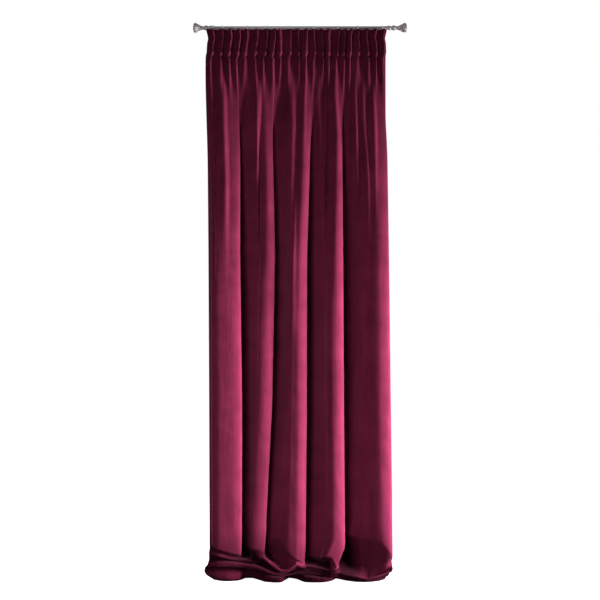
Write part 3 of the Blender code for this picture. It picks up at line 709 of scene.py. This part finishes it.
def velvetMaterial(name, look):
    made, inside, shader = newMaterial(name)
    where = addNode(inside, "ShaderNodeTexCoord").outputs["UV"]
    grain = addGrain(inside, where, look)
    # the mask of painted shade laid on the hem
    paintedShade = addNode(inside, "ShaderNodeAttribute", attribute_name="paintedShade").outputs["Fac"]
    pile = addNode(inside, "ShaderNodeGroup",
                   {"UV": where, "Grain": grain, "HemShade": paintedShade, "Deep": look["deep"], "Lit": look["lit"],
                    "ShadeTone": look["shadowColour"]}, node_tree=velvetPile).outputs
    # soft creases under the pile's own grain, and the stitches sunk into both
    under = addNode(inside, "ShaderNodeBump",
                    {"Strength": 0.8, "Distance": look["creaseBump"], "Height": pile["Creases"]})
    over = addNode(inside, "ShaderNodeBump", {"Strength": 0.6, "Distance": look["pileBump"], "Height": grain,
                                              "Normal": under.outputs["Normal"]})
    dent = addNode(inside, "ShaderNodeBump", {"Strength": 0.8, "Distance": stitch["sink"],
                                              "Height": pile["Stitches"], "Normal": over.outputs["Normal"]},
                   invert=True)
    setInputs(shader, {
        "Base Color": pile["Colour"],
        "Roughness": addRange(inside, pile["Ruffled"], wanted=look["roughness"]),
        "Normal": dent.outputs["Normal"],
        "Specular IOR Level": 0.0,
        "Sheen Weight": look["sheen"],
        "Sheen Roughness": look["sheenRoughness"],
        "Sheen Tint": look["sheenTint"],
    })
    return made


velvet = velvetMaterial("burgundy velvet", velvetLook)
# the darker copy with little sheen that paints shade on the hem
shaded = velvetMaterial("crushed velvet", shadedLook)

tapeLook = {
    "dark": (0.115, 0.012, 0.032, 1.0),
    "light": (0.30, 0.055, 0.10, 1.0),
    "roughness": 0.8,
    "sheen": 0.2,
    "warpScale": 900.0 / 6.3,
    "weftScale": 100.0,
    "grainScale": 500.0,
    "contrast": (0.3, 1.4),
    "bump": 0.0004,
}


def tapeMaterial(look):
    made, inside, shader = newMaterial("woven tape")
    where = addNode(inside, "ShaderNodeTexCoord").outputs["UV"]
    warp, weft = (
        addNode(inside, "ShaderNodeTexWave", {"Vector": where, "Scale": scale, "Distortion": distortion},
                bands_direction=direction).outputs["Fac"]
        for direction, scale, distortion in (("X", look["warpScale"], 0.6), ("Y", look["weftScale"], 0.4)))
    both = addMath(inside, "MULTIPLY", warp, weft)
    ramp = addRange(inside, addMath(inside, "ADD", both, addGrain(inside, where, look)), look["contrast"])
    bump = addNode(inside, "ShaderNodeBump", {"Strength": 0.7, "Distance": look["bump"], "Height": ramp})
    setInputs(shader, {
        "Base Color": addColours(inside, ramp, look["dark"], look["light"]),
        "Roughness": look["roughness"],
        "Normal": bump.outputs["Normal"],
        "Sheen Weight": look["sheen"],
    })
    return made


brushedLook = {"base": (0.22, 0.203, 0.204, 1.0), "worn": (0.36, 0.335, 0.338, 1.0),
               "roughness": (0.36, 0.56), "grainScale": 700.0, "stretch": (0.04, 1.0, 1.0), "bump": 0.00006}
polishedLook = {"base": (0.74, 0.72, 0.72, 1.0), "worn": (0.92, 0.90, 0.90, 1.0),
                "roughness": (0.08, 0.28), "grainScale": 700.0, "stretch": (1.0, 1.0, 1.0), "bump": 0.00002}


def metalMaterial(name, look):
    made, inside, shader = newMaterial(name)
    grain = addGrain(inside, addNode(inside, "ShaderNodeTexCoord").outputs["Object"], look)
    bump = addNode(inside, "ShaderNodeBump", {"Strength": 0.35, "Distance": look["bump"], "Height": grain})
    setInputs(shader, {
        "Base Color": addColours(inside, grain, look["base"], look["worn"]),
        "Metallic": 1.0,
        "Roughness": addRange(inside, grain, wanted=look["roughness"]),
        "Normal": bump.outputs["Normal"],
    })
    return made


woven = tapeMaterial(tapeLook)
brushed = metalMaterial("brushed nickel", brushedLook)
polished = metalMaterial("polished nickel", polishedLook)
print("materials made")


def thicken(piece, thickness):
    wall = piece.modifiers.new("thickness", "SOLIDIFY")
    wall.thickness = thickness
    wall.offset = 0.0


def buildPanel():
    places = np.linspace(0.0, 1.0, heading["pleats"] * cloth["columnsPerPleat"] + 1)
    headRows = np.linspace(0.0, cloth["headTo"], cloth["headRows"])
    lowerRows = np.linspace(cloth["headTo"], cloth["fallTo"], cloth["fallRows"] + 1)[1:]
    fallRows = np.concatenate((headRows, lowerRows))
    hemRows = np.linspace(0.0, hemShape["steps"], cloth["hemRows"])
    surface = clothSurface(places, fallRows, hemRows)
    lengths = np.concatenate((fallRows, np.linspace(cloth["straightFall"], cloth["length"], len(hemRows))))
    mesh = gridPiece("velvet panel", surface, flatUvs(places, lengths))
    # paint shade on the hem as a mask on its vertices
    layPaintedShade(mesh, places, len(fallRows), hemRows)
    panel = addPiece("velvet_panel", mesh, velvet)
    # the hem's faces below the fall take the darker copy: painted shade
    mesh.materials.append(shaded)
    corners = np.zeros(len(mesh.loops), int)
    mesh.loops.foreach_get("vertex_index", corners)
    firstShaded = len(fallRows) + np.searchsorted(hemRows, hemShape["shadedFrom"])
    rows = corners.reshape(-1, 4).min(axis=1) // len(places)
    mesh.polygons.foreach_set("material_index", (rows >= firstShaded).astype(int))
    thicken(panel, cloth["thickness"])
    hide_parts("curtain_panel")
    print("panel:", len(mesh.polygons), "faces")
    return panel


panel = buildPanel()

# Where only the cloth above the hem is wanted, two of the hem's rows are enough
firstHemRows = np.array((0.0, 1.0))

tape = {
    "gap": 0.0008,
    "thickness": 0.001,
    "top": 0.040,
    "bottom": 0.130,
    "sideEdge": 0.004,
    "cords": (0.047, 0.085, 0.123),
    "cordHalf": 0.0024,
    "cordHeight": 0.0011,
    "cordRows": 9,
    "between": (0.012, 0.020, 0.028),
}


# The cloth's surface moved back along its own normals
def backOfCloth(places, downs, offset):
    surface = clothSurface(places, downs, firstHemRows)[: len(downs)]
    across = np.gradient(surface, axis=1)
    downward = np.gradient(surface, axis=0)
    normal = np.cross(across, downward)
    normal /= np.linalg.norm(normal, axis=2)[:, :, None]
    normal *= np.where(np.mean(normal[:, :, 1]) < 0, 1.0, -1.0)
    return surface - normal * np.reshape(offset, (-1, 1, 1))


def buildTape():
    columns = heading["pleats"] * cloth["columnsPerPleat"] + 1
    places = np.linspace(tape["sideEdge"], 1.0 - tape["sideEdge"], columns)
    downs = [tape["top"]]
    for cord in tape["cords"]:
        downs += list(np.linspace(cord - tape["cordHalf"], cord + tape["cordHalf"], tape["cordRows"]))
        downs += [cord + step for step in tape["between"]]
    downs = np.array([down for down in downs if down < tape["bottom"]] + [tape["bottom"]])
    # a half-round rib over each cord
    rib = sum(np.clip(1.0 - ((downs - cord) / tape["cordHalf"]) ** 2, 0.0, 1.0) for cord in tape["cords"])
    offset = cloth["thickness"] / 2 + tape["gap"] + tape["thickness"] / 2 + tape["cordHeight"] * np.sqrt(rib)
    mesh = gridPiece("tape", backOfCloth(places, downs, offset), flatUvs(places, downs))
    piece = addPiece("woven_tape", mesh, woven)
    thicken(piece, tape["thickness"])
    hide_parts("gathering_tape")
    return piece


tapePiece = buildTape()
print("tape made")


# A closed surface from a grid rolled up and merged: shape(along, turned) gives each point, both from 0 to 1
def rolledPiece(name, slices, sides, shape):
    body = bmesh.new()
    bmesh.ops.create_grid(body, x_segments=sides, y_segments=slices, size=1.0)
    body.verts.ensure_lookup_table()
    for index, vert in enumerate(body.verts):
        vert.co = shape(index // (sides + 1) / slices, index % (sides + 1) / sides)
    bmesh.ops.remove_doubles(body, verts=body.verts, dist=0.000004)
    bmesh.ops.recalc_face_normals(body, faces=body.faces)
    return meshFrom(name, body)


def hoopShape(radius, wire, axis, middle):
    def place(along, turned):
        turn, around = 2 * math.pi * along, 2 * math.pi * turned
        out, side = radius + wire * math.cos(around), wire * math.sin(around)
        flat = (out * math.sin(turn), out * math.cos(turn))
        point = (side, flat[0], flat[1]) if axis == "X" else (flat[0], side, flat[1])
        return Vector(point) + Vector(middle)
    return place


wireEnd = {"cap": 0.03, "step": 0.0006, "sideways": (1.0, 0.12, 0.05)}


# A wire along a smooth route of points, closed at both ends
def wireShape(route, radius):
    knots = np.concatenate(((0.0,), np.cumsum(np.linalg.norm(np.diff(route, axis=0), axis=1))))
    total = knots[-1]
    cap, step = wireEnd["cap"], wireEnd["step"]

    def place(along, turned):
        at = min(max((along * (1 + 2 * cap) - cap) * total, 0.0), total)
        near = np.array((max(at - step, 0.0), at, min(at + step, total)))
        before, here, after = curveThrough(knots, route, near)
        forward = Vector(after - before).normalized()
        side = forward.cross(Vector(wireEnd["sideways"])).normalized()
        other = forward.cross(side)
        closed = min(min(along, 1.0 - along) / cap, 1.0)
        thick = radius * math.sqrt(max(1.0 - (1.0 - closed) ** 2, 0.0))
        turn = 2 * math.pi * turned
        return Vector(here) + (side * math.cos(turn) + other * math.sin(turn)) * thick
    return place


rod = {"half": 0.397, "radius": 0.008, "endRadius": 0.0074, "chamfer": 0.0006, "gap": 0.0004, "neck": 0.0104,
       "sides": 48, "slices": 5}
Station = namedtuple("Station", "along radius flute")
finialOutline = (
    Station(0.0, 0.0, 0.0), Station(0.0002, 0.0080, 0.0), Station(0.0012, 0.0088, 0.0),
    Station(0.0045, 0.0089, 0.0),
    Station(0.0070, 0.0079, 0.0), Station(0.0100, 0.0084, 0.0), Station(0.0125, 0.0098, 0.2),
    Station(0.0185, 0.0104, 0.4), Station(0.0255, 0.0100, 0.3), Station(0.0310, 0.0084, 0.0),
    Station(0.0345, 0.0086, 0.0), Station(0.0370, 0.0106, 0.0), Station(0.0430, 0.0120, 0.4),
    Station(0.0485, 0.0106, 0.2), Station(0.0520, 0.0086, 0.0), Station(0.0580, 0.0082, 0.3),
    Station(0.0690, 0.0110, 0.8), Station(0.0800, 0.0166, 1.2), Station(0.0890, 0.0218, 1.2),
    Station(0.0930, 0.0236, 0.6), Station(0.0955, 0.0240, 0.1), Station(0.0978, 0.0234, 0.0),
    Station(0.0990, 0.0218, 0.0), Station(0.0994, 0.0196, 0.0), Station(0.1012, 0.0186, 0.0),
    Station(0.1032, 0.0130, 0.0), Station(0.1042, 0.0060, 0.0), Station(0.1044, 0.0, 0.0),
)
finial = {"flutes": 16, "fluteDepth": 0.0012, "flutePower": 0.7, "fluteLevel": 0.6,
          "sides": 96, "slices": 120}


def rodShape(along, turned):
    turn = 2 * math.pi * turned
    end, inner = rod["half"], rod["half"] - rod["chamfer"]
    stops = ((-end, 0.0), (-end, rod["endRadius"]), (-inner, rod["radius"]), (inner, rod["radius"]),
             (end, rod["endRadius"]), (end, 0.0))
    x, radius = stops[round(along * rod["slices"])]
    return Vector((x, radius * math.cos(turn), radius * math.sin(turn)))


def finialShape(side):
    stations = np.array(finialOutline)
    reach = np.concatenate(((0.0,), np.cumsum(np.hypot(*np.diff(stations[:, :2], axis=0).T))))
    lines = curveThrough(reach, stations, np.linspace(0.0, reach[-1], finial["slices"] + 1))
    lines[0], lines[-1] = stations[0], stations[-1]

    def place(along, turned):
        start, radius, flute = lines[round(along * finial["slices"])]
        turn = 2 * math.pi * turned
        groove = abs(math.cos(finial["flutes"] * turn / 2)) ** finial["flutePower"] - finial["fluteLevel"]
        radius = max(radius, 0.0) + max(flute, 0.0) * finial["fluteDepth"] * groove
        x = side * (rod["half"] + rod["gap"] + start)
        return Vector((x, radius * math.cos(turn), radius * math.sin(turn)))
    return place


def replaceNode(name, mesh, material, node):
    piece = addPiece(name, mesh, material)
    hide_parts(node)
    return piece


rodMesh = rolledPiece("rod tube", rod["slices"], rod["sides"], rodShape)
replaceNode("rod_tube", rodMesh, brushed, "rod")
for name, side in (("left", -1), ("right", 1)):
    mesh = rolledPiece(f"finial {name}", finial["slices"], finial["sides"], finialShape(side))
    replaceNode(f"finial_{name}_turned", mesh, brushed, f"finial_{name}")
print("rod and finials made")

# Each dense value is (slices along, sides round)
hanger = {
    "ring": 0.0132,
    "ringWire": 0.0016,
    "ringDense": (64, 12),
    "eye": 0.0042,
    "eyeWire": 0.0010,
    "eyeDense": (32, 8),
    "wire": 0.0009,
    "hookDense": (60, 8),
    "tail": 0.0045,
    "tipIn": 0.8,
    "tipDrop": 0.006,
    "bendDrop": (0.0016, 0.0014),
    "behind": 0.0125,
    "downs": (0.0, 0.016, 0.030, 0.044, 0.056),
}


# Rings hang on the rod with an eye below, and a bent hook goes from each eye down behind its pleat
def buildHangers():
    quarter = 0.25 / heading["pleats"]
    count = len(hanger["downs"])
    left, crest, right = (clothSurface(ringPlaces + step, hanger["downs"], firstHemRows)[:count]
                          for step in (-quarter, 0.0, quarter))
    crest[:, :, 0] = (left[:, :, 0] + right[:, :, 0]) / 2
    tail, behind, (frontDrop, backDrop) = hanger["tail"], hanger["behind"], hanger["bendDrop"]
    for number in range(len(ringPlaces)):
        x = crest[2, number, 0]
        onNeck = abs(x) + hanger["ringWire"] > rod["half"]
        rest = (rod["neck"] if onNeck else rod["radius"]) + rod["gap"] - (hanger["ring"] - hanger["ringWire"])
        eyeZ = rest - hanger["ring"] - hanger["eye"]
        ringHoop = hoopShape(hanger["ring"], hanger["ringWire"], "X", (x, 0.0, rest))
        eyeHoop = hoopShape(hanger["eye"], hanger["eyeWire"], "Y", (x, 0.0, eyeZ))
        parts = bmesh.new()
        for mesh in (rolledPiece("ring", *hanger["ringDense"], ringHoop),
                     rolledPiece("eye", *hanger["eyeDense"], eyeHoop)):
            parts.from_mesh(mesh)
            bpy.data.meshes.remove(mesh)
        mesh = meshFrom(f"ring {number + 1}", parts)
        replaceNode(f"ring_{number + 1}_fine", mesh, polished, f"ring_{number + 1}")
        top = eyeZ - hanger["eye"] + hanger["eyeWire"] + hanger["wire"] + rod["gap"]
        route = [(x, tail, top - hanger["tipDrop"]), (x, tail * hanger["tipIn"], top - frontDrop)]
        route += [(x, 0.0, top), (x, -tail, top - backDrop)]
        route += [(point[0], point[1] + behind, point[2]) for point in crest[2:, number]]
        wire = wireShape(np.array(route), hanger["wire"])
        mesh = rolledPiece(f"hook {number + 1}", *hanger["hookDense"], wire)
        replaceNode(f"hook_{number + 1}_fine", mesh, polished, f"hook_{number + 1}")


buildHangers()
print("metal dressed")

stage = {
    "size": 30.0,
    "below": 0.0005,
    "colour": (0.86, 0.86, 0.86, 1.0),
    "roughness": 0.9,
    "fades": (1.5, 3.0),
    "glow": (0.62, 1.0),
    "dim": (0.20, 0.19, 0.19, 1.0),
    "mirrored": 0.45,
}


def buildFloor():
    shape = bmesh.new()
    bmesh.ops.create_grid(shape, x_segments=1, y_segments=1, size=stage["size"])
    bmesh.ops.translate(shape, verts=shape.verts, vec=(0.0, 0.0, -floorDrop - stage["below"]))
    mesh = meshFrom("floor", shape, smoothFaces=False)
    floor = bpy.data.objects.new("floor", mesh)
    bpy.context.scene.collection.objects.link(floor)
    made, inside, shader = newMaterial("pale floor")
    where = addNode(inside, "ShaderNodeTexCoord").outputs["Object"]
    far = addNode(inside, "ShaderNodeVectorMath", {0: where}, operation="LENGTH").outputs["Value"]
    setInputs(shader, {
        "Base Color": stage["colour"],
        "Roughness": stage["roughness"],
        "Emission Color": addRange(inside, far, stage["fades"], stage["glow"]),
        "Emission Strength": 1.0,
    })
    # what the floor throws back on the cloth is dimmer than it looks itself
    dim = addNode(inside, "ShaderNodeBsdfDiffuse", {"Color": stage["dim"]})
    ray = addNode(inside, "ShaderNodeLightPath").outputs
    clear = addMath(inside, "MULTIPLY_ADD", ray["Is Glossy Ray"], stage["mirrored"], ray["Is Camera Ray"])
    choice = addNode(inside, "ShaderNodeMixShader", {"Fac": clear, 1: dim.outputs[0], 2: shader.outputs[0]})
    setInputs(inside["Material Output"], {"Surface": choice.outputs[0]})
    mesh.materials.append(made)


lights = {
    "key": {"place": (3.4, -0.85, -2.05), "aim": (0.0, 0.0, -1.90), "size": 1.2, "spread": 66, "power": 148},
    "fill": {"place": (-1.6, -5.0, -1.0), "aim": (0.0, 0.0, -2.00), "size": 2.0, "spread": 56, "power": 20},
    "back": {"place": (0.3, 3.6, -0.9), "aim": (0.0, 0.0, -1.20), "size": 2.0, "spread": 60, "power": 44},
}


def addLight(name, light):
    lamp = bpy.data.lights.new(name, "AREA")
    lamp.size = light["size"]
    lamp.energy = light["power"]
    lamp.spread = math.radians(light["spread"])
    holder = bpy.data.objects.new(name, lamp)
    holder.location = light["place"]
    toward = Vector(light["aim"]) - Vector(light["place"])
    holder.rotation_euler = toward.to_track_quat("-Z", "Y").to_euler()
    bpy.context.scene.collection.objects.link(holder)


sky = {"light": 0.04, "boxScale": 2.6, "boxEdge": (0.40, 0.62), "boxLight": (0.05, 0.95)}


# White to the camera, a faint light on the cloth, and soft boxes where metal mirrors it
def buildSky():
    world = bpy.data.worlds.new("studio")
    world.use_nodes = True
    inside = world.node_tree.nodes
    white = (1.0, 1.0, 1.0, 1.0)
    direction = addNode(inside, "ShaderNodeTexCoord").outputs["Generated"]
    boxes = addNode(inside, "ShaderNodeTexNoise",
                    {"Vector": direction, "Scale": sky["boxScale"], "Detail": 1.0})
    mirrored = addRange(inside, boxes.outputs["Fac"], sky["boxEdge"], sky["boxLight"])
    ray = addNode(inside, "ShaderNodeLightPath").outputs
    strength = addNode(inside, "ShaderNodeMix", {0: ray["Is Glossy Ray"], 2: sky["light"], 3: mirrored},
                       data_type="FLOAT")
    setInputs(inside["Background"], {"Color": white, "Strength": strength.outputs[0]})
    seen = addNode(inside, "ShaderNodeBackground", {"Color": white})
    choice = addNode(inside, "ShaderNodeMixShader",
                     {"Fac": ray["Is Camera Ray"], 1: inside["Background"].outputs[0], 2: seen.outputs[0]})
    setInputs(inside["World Output"], {"Surface": choice.outputs[0]})
    bpy.context.scene.world = world


buildFloor()
for name, light in lights.items():
    addLight(name, light)
buildSky()
bpy.context.scene.view_settings.view_transform = "Standard"
print("studio lit")
